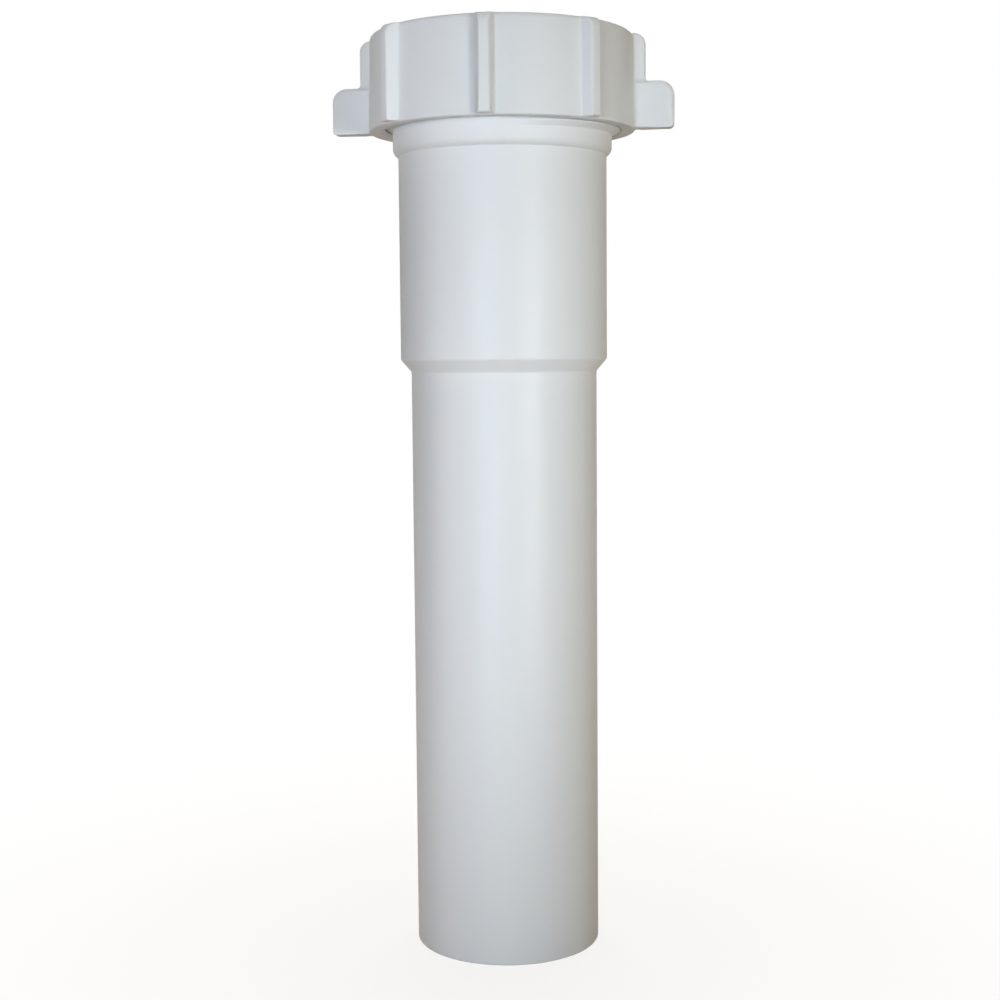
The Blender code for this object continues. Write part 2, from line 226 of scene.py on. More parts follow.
# Room and floor
ROOM_LEFT = (0.90, 0.84, 0.82)
ROOM_RIGHT = (0.74, 0.56, 0.28)
ROOM_STRENGTH = 0.165
REFLECTED_WHITE = 0.12
WHITE = (1.0, 1.0, 1.0, 1.0)
FLOOR_SIDES = 96
FLOOR_RADIUS = 1.5
FLOOR_COLOUR = (0.46, 0.38, 0.29)
FLOOR_ROUGHNESS = 0.8
FLOOR_SHADE = 0.3
FLOOR_SHADE_RADIUS = 0.2
FLOOR_LIFT = 1.22

# Lamps
SPOT_BLEND = 0.9
LAMP_WHITE = (1.0, 1.0, 1.0)
LAMP_AIM = (0.0, 0.0, 0.13)


def add_camera():
    """The photograph's view, from in front and a little to the right, at two thirds of the part's height."""
    ahead = Vector((sin(CAMERA_YAW), cos(CAMERA_YAW), 0.0))
    right = Vector((cos(CAMERA_YAW), -sin(CAMERA_YAW), 0.0))
    upright = Vector((0.0, 0.0, 1.0))
    look = ahead * cos(CAMERA_PITCH) - upright * sin(CAMERA_PITCH)
    above = upright * cos(CAMERA_PITCH) + ahead * sin(CAMERA_PITCH)
    across = right * cos(CAMERA_ROLL) + above * sin(CAMERA_ROLL)
    over = above * cos(CAMERA_ROLL) - right * sin(CAMERA_ROLL)
    turn = Matrix((across, over, -look)).transposed().to_4x4()
    place = Matrix.Translation((0.0, -CAMERA_DISTANCE, CAMERA_HEIGHT))
    data = bpy.data.cameras.new("photo_camera")
    data.sensor_fit = "HORIZONTAL"
    data.sensor_width = SENSOR_MM
    data.lens = FOCAL_PIXELS * SENSOR_MM / PHOTO_PIXELS
    data.clip_start = CAMERA_NEAR
    data.clip_end = CAMERA_FAR
    camera = bpy.data.objects.new("photo_camera", data)
    camera.matrix_world = Matrix.Rotation(CAMERA_AZIMUTH, 4, "Z") @ place @ turn
    bpy.context.scene.collection.objects.link(camera)
    bpy.context.scene.camera = camera


def arc(before, corner, after, radius, steps):
    """Points of the arc that rounds one corner of an outline."""
    to_before = (before - corner).normalized()
    to_after = (after - corner).normalized()
    corner_angle = to_before.angle(to_after)
    reach = radius * cos(corner_angle / 2) / sin(corner_angle / 2)
    centre = corner + (to_before + to_after).normalized() * (radius / sin(corner_angle / 2))
    start = corner + to_before * reach - centre
    end = corner + to_after * reach - centre
    sweep = pi - corner_angle
    points = []
    for step in range(steps + 1):
        part = step / steps
        spoke = start * sin((1 - part) * sweep) + end * sin(part * sweep)
        points.append(centre + spoke / sin(sweep))
    return points


def outline(corners, closed=True):
    """Outline through (across, up, rounding, steps) corners. An open one keeps its two ends sharp."""
    places = [Vector((corner[0], corner[1])) for corner in corners]
    points = []
    for index, place in enumerate(places):
        rounding, steps = corners[index][2:]
        inside = closed or 0 < index < len(places) - 1
        if rounding > 0 and inside:
            after = places[(index + 1) % len(places)]
            points += arc(places[index - 1], place, after, rounding, steps)
        else:
            points.append(place)
    return points


def shaped(name, vertices, faces, sharp):
    """A smooth-shaded piece whose normals follow its larger faces."""
    mesh = bpy.data.meshes.new(name)
    mesh.from_pydata(vertices, [], faces)
    mesh.validate()
    mesh.shade_smooth()
    mesh.set_sharp_from_angle(angle=sharp)
    piece = bpy.data.objects.new(name, mesh)
    bpy.context.scene.collection.objects.link(piece)
    weights = piece.modifiers.new("Even shading", "WEIGHTED_NORMAL")
    weights.mode = "FACE_AREA"
    weights.keep_sharp = True
    return piece


def ring_faces(first, second, count):
    """Quads between two rings of vertices, given by their first indices."""
    faces = []
    for column in range(count):
        after = (column + 1) % count
        faces.append((first + column, first + after, second + after, second + column))
    return faces


def stacked(rings, closed=True):
    """Vertices and quads of rings that follow each other."""
    count = len(rings[0])
    vertices = [place for ring in rings for place in ring]
    faces = []
    for index in range(len(rings) - 1):
        faces += ring_faces(index * count, (index + 1) * count, count)
    if closed:
        faces += ring_faces((len(rings) - 1) * count, 0, count)
    return vertices, faces


def turned_ring(radius, height, count, start=0.0):
    """A circle of vertices round the tube's axis."""
    ring = []
    for column in range(count):
        angle = start + tau * column / count
        ring.append((radius * cos(angle), radius * sin(angle), height))
    return ring


def thread_band(base, columns):
    """The male thread as one helical band, with its start and its end sunk into the core.

    base holds the vertices so far: its first ring is the top of the core and its last ring is the foot.
    """
    form = outline([
        (-PITCH / 2, 0.0, 0.0, 0),
        (-ROOT_HALF, 0.0, THREAD_ROOT_ROUND, 3),
        (-CREST_HALF, THREAD_HEIGHT, THREAD_CREST_ROUND, 4),
        (CREST_HALF, THREAD_HEIGHT, THREAD_CREST_ROUND, 4),
        (ROOT_HALF, 0.0, 0.0, 0),
    ], closed=False)
    crest_corner = Vector((CREST_HALF, THREAD_HEIGHT))
    root_corner = Vector((ROOT_HALF, 0.0))
    beyond = Vector((PITCH / 2 + CREST_HALF, 0.0))
    form = form[:-1] + arc(crest_corner, root_corner, beyond, THREAD_ROOT_ROUND, 3)
    rows = len(form)
    steps = int((THREAD_TOP_CENTRE - THREAD_START_CENTRE) / PITCH * columns)
    vertices = []
    index = {}
    for step in range(steps + columns + 1):
        angle = THREAD_START_ANGLE + tau * step / columns
        centre = THREAD_START_CENTRE + PITCH * step / columns
        growth = max(0.0, min(1.0, min(step, steps - step) / (columns * RUNOUT_TURN)))
        shown = form if step <= steps else form[:1]
        for row, point in enumerate(shown):
            index[step, row] = len(base) + len(vertices)
            radius = CORE_RADIUS + point.y * growth
            vertices.append((radius * cos(angle), radius * sin(angle), centre + point.x))
    for step in range(steps + 1):
        index[step, rows] = index[step + columns, 0]

    # The band itself
    faces = []
    for step in range(steps):
        for row in range(rows):
            faces.append((index[step, row], index[step + 1, row],
                          index[step + 1, row + 1], index[step, row + 1]))

    # Its first turn joins the core's foot, and a fan closes its start
    foot = len(base) - columns
    for column in range(columns - 1):
        faces.append((foot + column, foot + column + 1, index[column + 1, 0], index[column, 0]))
    last = index[columns - 1, 0]
    faces.append((foot + columns - 1, foot, index[0, 0], last))
    for row in range(rows):
        faces.append((last, index[0, row], index[0, row + 1]))

    # Its last turn joins the core's top, and a fan closes its end
    for step in range(steps + 1, steps + columns):
        faces.append((index[step, 0], index[step + 1, 0],
                      (step + 1) % columns, step % columns))
    first = index[steps + 1, 0]
    faces.append((index[steps, rows], first, (steps + 1) % columns, steps % columns))
    for row in range(rows):
        faces.append((index[steps, row], first, index[steps, row + 1]))
    return vertices, faces


def make_tube():
    """The moulded tube with its rounded edges and its thread, down its bore and up its outside."""
    corners = [
        (CORE_RADIUS, TUBE_TOP, 0.0, 0),
        (MOUTH_RADIUS, TUBE_TOP, MOUTH_INNER_ROUND, 3),
        (SOCKET_BORE, TUBE_TOP - MOUTH_BEVEL_DEPTH, BEVEL_FOOT_ROUND, 4),
        (SOCKET_BORE, PIPE_STOP, STOP_CORNER_ROUND, 4),
        (TAIL_BORE, PIPE_STOP, STOP_EDGE_ROUND, 4),
        (TAIL_BORE, 0.0, TAIL_END_ROUND, 5),
        (PIPE_RADIUS, 0.0, TAIL_END_ROUND, 5),
        (PIPE_RADIUS, TAIL_LENGTH, SHOULDER_FOOT_ROUND, 5),
        (SOCKET_RADIUS, SHOULDER_TOP, SHOULDER_TOP_ROUND, 6),
        (SOCKET_RADIUS, COLLAR_FOOT, 0.0, 0),
        (CORE_RADIUS, COLLAR_TOP, COLLAR_ROUND, 8),
        (CORE_RADIUS, PLAIN_CORE_TOP, 0.0, 0),
    ]
    below = Vector((CORE_RADIUS, THREAD_FOOT))
    rim = Vector((CORE_RADIUS, TUBE_TOP))
    inward = Vector((MOUTH_RADIUS, TUBE_TOP))
    points = arc(below, rim, inward, MOUTH_OUTER_ROUND, 4)
    points += outline(corners, closed=False)[1:]
    rings = [turned_ring(point.x, point.y, TUBE_COLUMNS, THREAD_START_ANGLE) for point in points]
    vertices, faces = stacked(rings, closed=False)
    band_vertices, band_faces = thread_band(vertices, TUBE_COLUMNS)
    return shaped("tube_skin", vertices + band_vertices, faces + band_faces, SHARP_ANGLE)


def make_washer():
    """The tapered slip washer."""
    low, high = washer_low.z, washer_high.z
    flange_foot = high - WASHER_FLANGE_HEIGHT
    corners = [
        (WASHER_BORE, low, WASHER_TIP_ROUND, 3),
        (WASHER_BORE + WASHER_TIP_WIDTH, low, WASHER_TIP_ROUND, 3),
        (WASHER_CONE_RADIUS, flange_foot, WASHER_CONE_ROUND, 3),
        (WASHER_RADIUS, flange_foot, WASHER_FLANGE_ROUND, 4),
        (WASHER_RADIUS, high, WASHER_FLANGE_ROUND, 4),
        (WASHER_BORE, high, WASHER_FLANGE_ROUND, 4),
    ]
    rings = [turned_ring(point.x, point.y, TUBE_COLUMNS) for point in outline(corners)]
    vertices, faces = stacked(rings)
    return shaped("washer_skin", vertices, faces, SHARP_ANGLE)


def nut_side(height):
    """Radius of the nut's plain side at a height over its foot, with its rounded ends."""
    radius = NUT_FOOT_RADIUS - NUT_DRAFT * height / NUT_HEIGHT
    if height < NUT_FOOT_ROUND:
        drop = NUT_FOOT_ROUND - height
        return radius - NUT_FOOT_ROUND + sqrt(NUT_FOOT_ROUND ** 2 - drop ** 2)
    if height > NUT_HEIGHT - NUT_TOP_ROUND:
        rise = height - (NUT_HEIGHT - NUT_TOP_ROUND)
        return radius - NUT_TOP_ROUND + sqrt(max(0.0, NUT_TOP_ROUND ** 2 - rise ** 2))
    return radius


def rib_half(radius):
    """Half the width of a grip rib at one radius."""
    return RIB_ROOT_HALF - RIB_TAPER * (radius - NUT_FOOT_RADIUS) / (RIB_RADIUS - NUT_FOOT_RADIUS)


def wing_half(radius):
    """Half the width of a wing at one radius."""
    return WING_ROOT_HALF - WING_TAPER * (radius - NUT_FOOT_RADIUS) / (WING_RADIUS - NUT_FOOT_RADIUS)


def quarter(centre, radius, steps, start, bulge=1):
    """Points and normals of a quarter turn after its first point, which bulges out (1) or in (-1)."""
    points = []
    for step in range(1, steps + 1):
        angle = start + bulge * pi / 2 * step / steps
        spoke = Vector((cos(angle), sin(angle)))
        points.append((centre + spoke * radius, spoke * bulge))
    return points


def rib_places(sides):
    """Points and normals up a rib's middle, as far as its rounded top."""
    down, out = Vector((0, -1)), Vector((1, 0))
    foot_centre = Vector((RIB_RADIUS - RIB_FOOT_ROUND, RIB_SETBACK + RIB_FOOT_ROUND))
    places = [(Vector((radius, RIB_SETBACK)), down) for radius in RIB_FOOT_RADII]
    places += quarter(foot_centre, RIB_FOOT_ROUND, len(FOOT_ROUND_SIDES), -pi / 2)
    places += [(Vector((RIB_RADIUS, height)), out) for height in sides[TIP_START:]]
    return places


def wing_places():
    """Points and normals up a wing's middle and the rib above it, as far as the rib's rounded top."""
    down, out, up = Vector((0, -1)), Vector((1, 0)), Vector((0, 1))
    foot_centre = Vector((WING_RADIUS - WING_FOOT_ROUND, RIB_SETBACK + WING_FOOT_ROUND))
    top_centre = Vector((WING_RADIUS - WING_TOP_ROUND, WING_TOP - WING_TOP_ROUND))
    inner_centre = Vector((RIB_RADIUS + WING_INNER_ROUND, WING_TOP + WING_INNER_ROUND))
    places = [(Vector((radius, RIB_SETBACK)), down) for radius in WING_FOOT_RADII]
    places += quarter(foot_centre, WING_FOOT_ROUND, len(FOOT_ROUND_SIDES), -pi / 2)
    places += [(Vector((WING_RADIUS, height)), out) for height in WING_TIP_HEIGHTS]
    places += quarter(top_centre, WING_TOP_ROUND, len(WING_CORNER_SIDES), 0.0)
    places += [(Vector((radius, WING_TOP)), up) for radius in WING_TOP_RADII]
    places += quarter(inner_centre, WING_INNER_ROUND, len(WING_INNER_SIDES), -pi / 2, -1)
    places += [(Vector((RIB_RADIUS, height)), out) for height in RIB_SIDES]
    return places


def fin_stations():
    """Stations up a fin, from its foot to the nut's lid.

    Each holds the plain side's height, a point and normal on a rib, the same on a wing, and how much of
    the rib's and of the wing's edge rounding it takes.
    """
    sides = [*FOOT_SIDES, *FOOT_ROUND_SIDES, *WING_TIP_SIDES, *WING_CORNER_SIDES]
    sides += [*WING_TOP_SIDES, *WING_INNER_SIDES, *RIB_SIDES]
    ribs = rib_places(sides)
    wings = wing_places()
    crown_centre = Vector((RIB_RADIUS - RIB_TOP_ROUND, RIB_TOP - RIB_TOP_ROUND))
    crown = quarter(crown_centre, RIB_TOP_ROUND, CROWN_STEPS, 0.0)
    for point, _ in crown:
        rise = point.y - RIB_TOP + RIB_TOP_ROUND
        sides.append(RIB_TOP - RIB_TOP_ROUND + rise * CROWN_SIDE_SHARE)
    sides.append(RIB_TOP - CROWN_END_DROP)
    crown.append((Vector((CROWN_END_RADIUS, RIB_TOP)), Vector((0, 1))))
    rib_shares = list(RIB_EDGE_SHARES)
    rib_shares += [UPPER_RIB_EDGE_SHARE] * (len(sides) - len(rib_shares))
    wing_shares = list(WING_EDGE_SHARES)
    wing_shares += [UPPER_WING_EDGE_SHARE] * (len(sides) - len(wing_shares))
    return list(zip(sides, ribs + crown, wings + crown, rib_shares, wing_shares))


def fin_section(side_height, point, normal, half, root_half, edge, fillet, lean, stretch=1.0):
    """Half of a fin's section, from its middle to where its root fillet meets the nut's side.

    stretch is how far the rounding of its edge reaches towards the root, as a share of its width.
    """
    side = nut_side(side_height)
    depth = (point - Vector((side, side_height))).length
    edge = min(edge, depth * LARGEST_EDGE_SHARE / max(1.0, stretch))
    lean *= abs(normal.x)
    reach = edge * tan((pi / 2 - lean) / 2)
    places = []
    for share in END_SHARES:
        places.append(Vector((point.x, (half - reach) * share, point.y)))
    for share in EDGE_SHARES:
        angle = (pi / 2 - lean) * share
        inset = edge * stretch * (1 - cos(angle))
        across = half - reach + edge * sin(angle)
        places.append(Vector((point.x - normal.x * inset, across, point.y - normal.y * inset)))
    flank = places[-1]
    root = Vector((sqrt(side ** 2 - root_half ** 2), root_half, side_height))
    length = (root - flank).length
    leave = root + (flank - root) * min(fillet / length, LARGEST_FILLET_SHARE)
    angle = asin(root_half / side) + fillet / side
    land = Vector((side * cos(angle), side * sin(angle), side_height))
    places += [flank.lerp(leave, share) for share in FLANK_SHARES]
    places.append(leave)
    for share in FILLET_SHARES:
        places.append(leave.lerp(root, share).lerp(root.lerp(land, share), share))
    places.append(land)
    return places


def blended(low, high, share):
    """A value part of the way from one to another."""
    return low + (high - low) * share


def nut_ring(rib, wing, radius_between, height):
    """One ring of the nut: a half section at each rib and wing, and the plain side between them."""
    ring = []
    for index in range(RIB_COUNT):
        half_section = wing if index % WING_SPACING == 0 else rib
        following = wing if (index + 1) % WING_SPACING == 0 else rib
        turn = tau * index / RIB_COUNT
        section = [(place.x, -place.y, place.z) for place in reversed(half_section[1:])]
        section += [tuple(place) for place in half_section]
        for x, y, z in section:
            across = x * cos(turn) - y * sin(turn)
            along = x * sin(turn) + y * cos(turn)
            ring.append((across, along, NUT_FOOT + z))
        start = turn + asin(half_section[-1].y / radius_between)
        end = turn + tau / RIB_COUNT - asin(following[-1].y / radius_between)
        for column in range(1, GAP_COLUMNS + 1):
            angle = blended(start, end, column / (GAP_COLUMNS + 1))
            ring.append((radius_between * cos(angle), radius_between * sin(angle), NUT_FOOT + height))
    return ring


def bore_radius(height, angle):
    """Radius of the nut's bore, with its entry, its female thread and the relief above it."""
    rise = NUT_RELIEF_RADIUS - NUT_BORE_RADIUS
    entry = NUT_RELIEF_RADIUS - rise * height / NUT_ENTRY_RISE
    relief = NUT_RELIEF_RADIUS - (NUT_RELIEF_FOOT - height)
    plain = min(NUT_RELIEF_RADIUS, max(NUT_BORE_RADIUS, entry, relief))
    centre = THREAD_START_CENTRE - NUT_FOOT + PITCH * (angle - THREAD_START_ANGLE) / tau
    off = abs((height - centre + PITCH / 2) % PITCH - PITCH / 2)
    clearance = THREAD_CLEARANCE * sqrt(1 + FLANK_SLOPE ** 2)
    groove = min(NUT_GROOVE_RADIUS, CORE_RADIUS + (ROOT_HALF + clearance - off) / FLANK_SLOPE)
    return max(plain, groove)


def column_angles(section):
    """Angles of the nut's columns: those of a rib's section at each rib, and even ones between them."""
    offsets = [asin(place.y / NUT_FOOT_RADIUS) for place in section]
    gap = tau / RIB_COUNT - 2 * offsets[-1]
    angles = []
    for index in range(RIB_COUNT):
        turn = tau * index / RIB_COUNT
        angles += [turn - offset for offset in reversed(offsets[1:])]
        angles += [turn + offset for offset in offsets]
        for column in range(1, GAP_COLUMNS + 1):
            angles.append(turn + offsets[-1] + gap * column / (GAP_COLUMNS + 1))
    return angles


def plain_ring(angles, radius, height):
    """A ring of the nut that is round at one height over its foot."""
    return [(radius * cos(angle), radius * sin(angle), NUT_FOOT + height) for angle in angles]


def fin_rings(stations, rib_lean):
    """The nut's rings from the ribs' foot to their top."""
    wing_lean = atan(WING_TAPER / (WING_RADIUS - NUT_FOOT_RADIUS))
    rings = []
    for index, (side_height, rib_place, wing_place, rib_share, wing_share) in enumerate(stations):
        rib_point, rib_normal = rib_place
        rib = fin_section(side_height, rib_point, rib_normal, rib_half(rib_point.x), RIB_ROOT_HALF,
                          RIB_EDGE * rib_share, RIB_FILLET, rib_lean)
        wing_point, wing_normal = wing_place
        share = min(1.0, max(0.0, (index - BLEND_START) / BLEND_STEPS))
        stretch = 1.0
        if index >= TIP_START:
            stretch = blended(1.0 + WING_EDGE_STRETCH * wing_normal.x ** 2, 1.0, share)
        wing = fin_section(side_height, wing_point, wing_normal,
                           half=blended(wing_half(wing_point.x), rib_half(wing_point.x), share),
                           root_half=blended(WING_ROOT_HALF, RIB_ROOT_HALF, share),
                           edge=blended(WING_EDGE * wing_share, RIB_EDGE, share),
                           fillet=blended(WING_FILLET, RIB_FILLET, share),
                           lean=blended(wing_lean, rib_lean, share),
                           stretch=stretch)
        rings.append(nut_ring(rib, wing, nut_side(side_height), side_height))
    return rings


def bore_rings(angles):
    """The nut's rings down its female thread to its foot."""
    rows = round(NUT_RELIEF_FOOT / BORE_ROW_HEIGHT)
    rings = []
    for row in range(1, rows + 1):
        height = NUT_RELIEF_FOOT * (1 - row / rows)
        ring = []
        for angle in angles:
            radius = bore_radius(height, angle)
            ring.append((radius * cos(angle), radius * sin(angle), NUT_FOOT + height))
        rings.append(ring)
    return rings


def make_nut():
    """The slip nut: its side, ribs and wings as one skin, then its lid, hole, relief and female thread."""
    rib_lean = atan(RIB_TAPER / (RIB_RADIUS - NUT_FOOT_RADIUS))
    stations = fin_stations()
    side_height, (point, normal) = stations[TIP_START][:2]
    angles = column_angles(fin_section(side_height, point, normal, rib_half(RIB_RADIUS), RIB_ROOT_HALF,
                                       RIB_EDGE, RIB_FILLET, rib_lean))
    lid = outline([
        (LID_RADII[0], NUT_HEIGHT, 0.0, 0),
        (NUT_HOLE_RADIUS, NUT_HEIGHT, NUT_HOLE_ROUND, 5),
        (NUT_HOLE_RADIUS, NUT_LIP_FOOT, NUT_LIP_ROUND, 3),
        (NUT_RELIEF_RADIUS, NUT_LIP_FOOT, NUT_RELIEF_ROUND, 3),
        (NUT_RELIEF_RADIUS, NUT_RELIEF_FOOT, 0.0, 0),
    ], closed=False)
    lid_heights = [NUT_HEIGHT - drop for drop in LID_DROPS]
    rings = [plain_ring(angles, radius, 0.0) for radius in FOOT_RADII]
    rings += [plain_ring(angles, nut_side(height), height) for height in FOOT_HEIGHTS]
    rings += fin_rings(stations, rib_lean)
    rings += [plain_ring(angles, nut_side(height), height) for height in lid_heights]
    rings += [plain_ring(angles, radius, NUT_HEIGHT) for radius in LID_RADII]
    rings += [plain_ring(angles, point.x, point.y) for point in lid[1:]]
    rings += bore_rings(angles)
    vertices, faces = stacked(rings)
    return shaped("nut_skin", vertices, faces, NUT_SHARP_ANGLE)


def node(tree, kind, **inputs):
    """A node with values on its named inputs."""
    made = tree.nodes.new(kind)
    for name, value in inputs.items():
        made.inputs[name.replace("_", " ")].default_value = value
    return made


def colour_mix(tree, first, second):
    """A mix of two colours by its Factor."""
    mix = tree.nodes.new("ShaderNodeMix")
    mix.data_type = "RGBA"
    mix.inputs["A"].default_value = (*first, 1.0)
    mix.inputs["B"].default_value = (*second, 1.0)
    return mix


def math_node(tree, operation):
    """A node that works out one number."""
    made = tree.nodes.new("ShaderNodeMath")
    made.operation = operation
    return made


def moulded_plastic(name, colour, shade, roughness, grain, waves, soft):
    """Moulded plastic: a little uneven in colour and gloss, with a fine skin and long shallow sink waves."""
    material = bpy.data.materials.new(name)
    material.use_nodes = True
    tree = material.node_tree
    link = tree.links.new
    shader = tree.nodes["Principled BSDF"]
    shader.inputs["IOR"].default_value = PLASTIC_IOR
    shader.inputs["Specular IOR Level"].default_value = PLASTIC_GLEAM
    shader.inputs["Subsurface Weight"].default_value = soft
    shader.inputs["Subsurface Radius"].default_value = SCATTER_DEPTHS
    shader.inputs["Subsurface Scale"].default_value = 1.0
    place = node(tree, "ShaderNodeTexCoord")
    flow = node(tree, "ShaderNodeMapping", Scale=(1.0, 1.0, 0.25))
    link(place.outputs["Object"], flow.inputs["Vector"])

    # Colour
    cloud = node(tree, "ShaderNodeTexNoise", Scale=60.0, Detail=3.0, Roughness=0.55)
    link(flow.outputs["Vector"], cloud.inputs["Vector"])
    tint = colour_mix(tree, shade, colour)
    spread = node(tree, "ShaderNodeMapRange", From_Min=NOISE_LOW, From_Max=NOISE_HIGH)
    link(cloud.outputs["Fac"], spread.inputs["Value"])
    link(spread.outputs["Result"], tint.inputs["Factor"])
    link(tint.outputs["Result"], shader.inputs["Base Color"])

    # Gloss
    haze = node(tree, "ShaderNodeTexNoise", Scale=160.0, Detail=4.0, Roughness=0.6)
    link(flow.outputs["Vector"], haze.inputs["Vector"])
    gloss = node(tree, "ShaderNodeMapRange", From_Min=NOISE_LOW, From_Max=NOISE_HIGH,
                 To_Min=roughness - ROUGHNESS_DROP, To_Max=roughness + ROUGHNESS_RISE)
    link(haze.outputs["Fac"], gloss.inputs["Value"])
    link(gloss.outputs["Result"], shader.inputs["Roughness"])

    # Sink waves and skin
    wave = node(tree, "ShaderNodeTexNoise", Scale=110.0, Detail=1.0)
    link(flow.outputs["Vector"], wave.inputs["Vector"])
    sink = node(tree, "ShaderNodeBump", Strength=1.0, Distance=waves)
    link(wave.outputs["Fac"], sink.inputs["Height"])
    skin = node(tree, "ShaderNodeTexNoise", Scale=2600.0, Detail=2.0)
    link(place.outputs["Object"], skin.inputs["Vector"])
    peel = node(tree, "ShaderNodeBump", Strength=1.0, Distance=grain)
    link(skin.outputs["Fac"], peel.inputs["Height"])
    link(sink.outputs["Normal"], peel.inputs["Normal"])
    link(peel.outputs["Normal"], shader.inputs["Normal"])
    return material


def hang_lamp(data, place, target):
    """Places a lamp, out of the camera's sight, and turns it to its target."""
    lamp = bpy.data.objects.new(data.name, data)
    lamp.location = place
    lamp.rotation_euler = (Vector(target) - Vector(place)).to_track_quat("-Z", "Y").to_euler()
    lamp.visible_camera = False
    bpy.context.scene.collection.objects.link(lamp)
    return lamp


def add_panel(name, colour, power, place, target=LAMP_AIM, width=0.30, height=0.30, spread=pi, glossy=True):
    """A rectangular lamp. One that isn't glossy gives light but no reflection of itself."""
    data = bpy.data.lights.new(name, "AREA")
    data.shape = "RECTANGLE"
    data.size = width
    data.size_y = height
    data.color = colour
    data.energy = power
    data.spread = spread
    hang_lamp(data, place, target).visible_glossy = glossy


def add_spot(name, colour, power, place, target, radius, cone):
    """A soft-edged spot."""
    data = bpy.data.lights.new(name, "SPOT")
    data.color = colour
    data.energy = power
    data.shadow_soft_size = radius
    data.spot_size = cone
    data.spot_blend = SPOT_BLEND
    hang_lamp(data, place, target)


def add_lamps():
    """Soft spots in front, one small one for the nut's left, weak side panels, and three for the back."""
    add_spot("front", colour=(0.73, 0.86, 1.0), power=11.4,
             place=(-0.156, -0.734, 0.05), target=(0.0, 0.0, 0.089), radius=0.10, cone=radians(32))
    add_spot("key", colour=(0.97, 0.98, 0.95), power=10.4,
             place=(0.469, -0.585, 0.11), target=(0.0, 0.0, 0.124), radius=0.10, cone=radians(28))
    add_panel("left", colour=(1.0, 0.82, 0.72), power=0.08,
              place=(-0.606, -0.350, 0.09), target=(0.0, 0.0, 0.10), width=0.20, spread=radians(60))
    add_panel("low_left", colour=(1.0, 0.88, 0.82), power=0.012,
              place=(-0.570, -0.400, 0.02), target=(0.0, 0.0, 0.03), width=0.15, height=0.15,
              spread=radians(22))
    add_panel("right", colour=(1.0, 0.68, 0.30), power=0.05,
              place=(0.634, -0.296, 0.02), width=0.20, spread=radians(70))
    add_spot("nut_left", colour=(1.0, 0.97, 0.97), power=2.8,
             place=(-0.400, -0.634, 0.17), target=(-0.018, 0.0, 0.183), radius=0.02, cone=radians(5.4))
    add_panel("back_left", LAMP_WHITE, power=1.7, place=(-0.26, 0.650, 0.25), glossy=False)
    add_panel("back_right", LAMP_WHITE, power=1.6, place=(0.18, 0.676, 0.25), glossy=False)
    add_panel("top", LAMP_WHITE, power=1.5, place=(0.0, 0.15, 0.85), glossy=False)


def white_rays(tree):
    """How much of the white background a ray sees: all for camera and transmission, less for a reflection."""
    path = tree.nodes.new("ShaderNodeLightPath")
    gloss = math_node(tree, "MULTIPLY")
    gloss.inputs[1].default_value = REFLECTED_WHITE
    tree.links.new(path.outputs["Is Glossy Ray"], gloss.inputs[0])
    seen = math_node(tree, "MAXIMUM")
    tree.links.new(path.outputs["Is Camera Ray"], seen.inputs[0])
    tree.links.new(gloss.outputs["Value"], seen.inputs[1])
    through = math_node(tree, "MAXIMUM")
    tree.links.new(seen.outputs["Value"], through.inputs[0])
    tree.links.new(path.outputs["Is Transmission Ray"], through.inputs[1])
    return through.outputs["Value"]


def add_world():
    """A dim warm room for the light, white to the camera and a little of that white to reflections."""
    world = bpy.data.worlds.new("studio")
    world.use_nodes = True
    tree = world.node_tree
    link = tree.links.new
    room = tree.nodes["Background"]
    room.inputs["Strength"].default_value = ROOM_STRENGTH
    place = node(tree, "ShaderNodeTexCoord")
    parts = node(tree, "ShaderNodeSeparateXYZ")
    link(place.outputs["Generated"], parts.inputs["Vector"])
    across = node(tree, "ShaderNodeMapRange", From_Min=-1.0)
    link(parts.outputs["X"], across.inputs["Value"])
    walls = colour_mix(tree, ROOM_LEFT, ROOM_RIGHT)
    link(across.outputs["Result"], walls.inputs["Factor"])
    link(walls.outputs["Result"], room.inputs["Color"])
    white = node(tree, "ShaderNodeBackground", Color=WHITE)
    choice = node(tree, "ShaderNodeMixShader")
    link(white_rays(tree), choice.inputs["Fac"])
    link(room.outputs["Background"], choice.inputs[1])
    link(white.outputs["Background"], choice.inputs[2])
    link(choice.outputs["Shader"], tree.nodes["World Output"].inputs["Surface"])
    bpy.context.scene.world = world


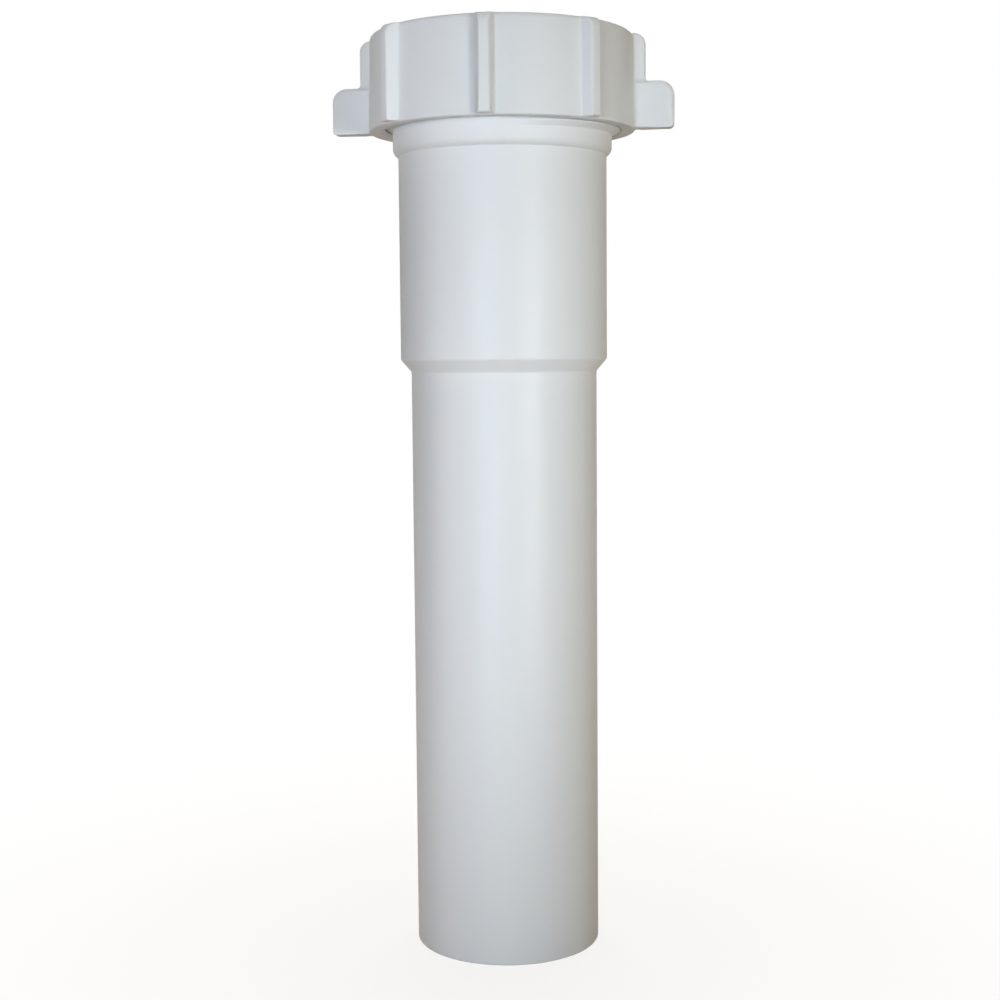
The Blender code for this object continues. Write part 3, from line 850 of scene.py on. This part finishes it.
def floor_material():
    """Pale, white in the distance, shaded round the object's foot, and clear from below."""
    material = bpy.data.materials.new("pale_floor")
    material.use_nodes = True
    tree = material.node_tree
    link = tree.links.new
    surface = tree.nodes["Principled BSDF"]
    surface.inputs["Base Color"].default_value = (*FLOOR_COLOUR, 1.0)
    surface.inputs["Roughness"].default_value = FLOOR_ROUGHNESS
    surface.inputs["Specular IOR Level"].default_value = 0.0

    # The white grows with the distance from the object's foot
    place = node(tree, "ShaderNodeTexCoord")
    distance = tree.nodes.new("ShaderNodeVectorMath")
    distance.operation = "LENGTH"
    link(place.outputs["Object"], distance.inputs[0])
    fade = node(tree, "ShaderNodeMapRange", From_Max=FLOOR_SHADE_RADIUS, To_Min=1.0 - FLOOR_SHADE)
    fade.interpolation_type = "SMOOTHSTEP"
    link(distance.outputs["Value"], fade.inputs["Value"])
    share = math_node(tree, "MULTIPLY")
    link(fade.outputs["Result"], share.inputs[0])
    link(white_rays(tree), share.inputs[1])

    # Near the foot it is brighter, to make up for the darker surface that it is mixed with
    lift = node(tree, "ShaderNodeMapRange", From_Min=1.0 - FLOOR_SHADE, To_Min=FLOOR_LIFT, To_Max=1.0)
    link(fade.outputs["Result"], lift.inputs["Value"])
    white = node(tree, "ShaderNodeEmission", Color=WHITE)
    link(lift.outputs["Result"], white.inputs["Strength"])
    mix = node(tree, "ShaderNodeMixShader")
    link(share.outputs["Value"], mix.inputs["Fac"])
    link(surface.outputs["BSDF"], mix.inputs[1])
    link(white.outputs["Emission"], mix.inputs[2])

    clear = node(tree, "ShaderNodeBsdfTransparent")
    side = node(tree, "ShaderNodeNewGeometry")
    under = node(tree, "ShaderNodeMixShader")
    link(side.outputs["Backfacing"], under.inputs["Fac"])
    link(mix.outputs["Shader"], under.inputs[1])
    link(clear.outputs["BSDF"], under.inputs[2])
    link(under.outputs["Shader"], tree.nodes["Material Output"].inputs["Surface"])
    return material


def add_floor():
    """A pale round floor that keeps the soft shadow at the object's foot."""
    bpy.ops.mesh.primitive_circle_add(vertices=FLOOR_SIDES, radius=FLOOR_RADIUS, fill_type="NGON",
                                      location=(0, 0, 0))
    floor = bpy.context.object
    floor.name = "floor"
    floor.data.materials.append(floor_material())


def main():
    """The camera, the three dressed pieces, and the studio round them."""
    add_camera()
    tube = make_tube()
    nut = make_nut()
    washer = make_washer()
    tube.data.materials.append(moulded_plastic(
        "white_polypropylene", colour=(0.80, 0.835, 0.865), shade=(0.77, 0.805, 0.84),
        roughness=0.46, grain=0.000004, waves=0.00003, soft=0.1))
    nut.data.materials.append(moulded_plastic(
        "white_nut_plastic", colour=(0.785, 0.82, 0.85), shade=(0.76, 0.795, 0.825),
        roughness=0.46, grain=0.000005, waves=0.00003, soft=0.1))
    washer.data.materials.append(moulded_plastic(
        "natural_polyethylene", colour=(0.84, 0.84, 0.81), shade=(0.80, 0.80, 0.77),
        roughness=0.48, grain=0.000003, waves=0.00004, soft=0.35))
    for piece, body, name, slot in (
        (tube, "tube", "extension_tube", "tube_plastic"),
        (nut, "nut", "slip_nut", "nut_plastic"),
        (washer, "washer", "slip_washer", "washer_plastic"),
    ):
        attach(piece, body)
        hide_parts(name)
    add_world()
    add_floor()
    add_lamps()
    bpy.context.scene.view_settings.view_transform = "Standard"


main()
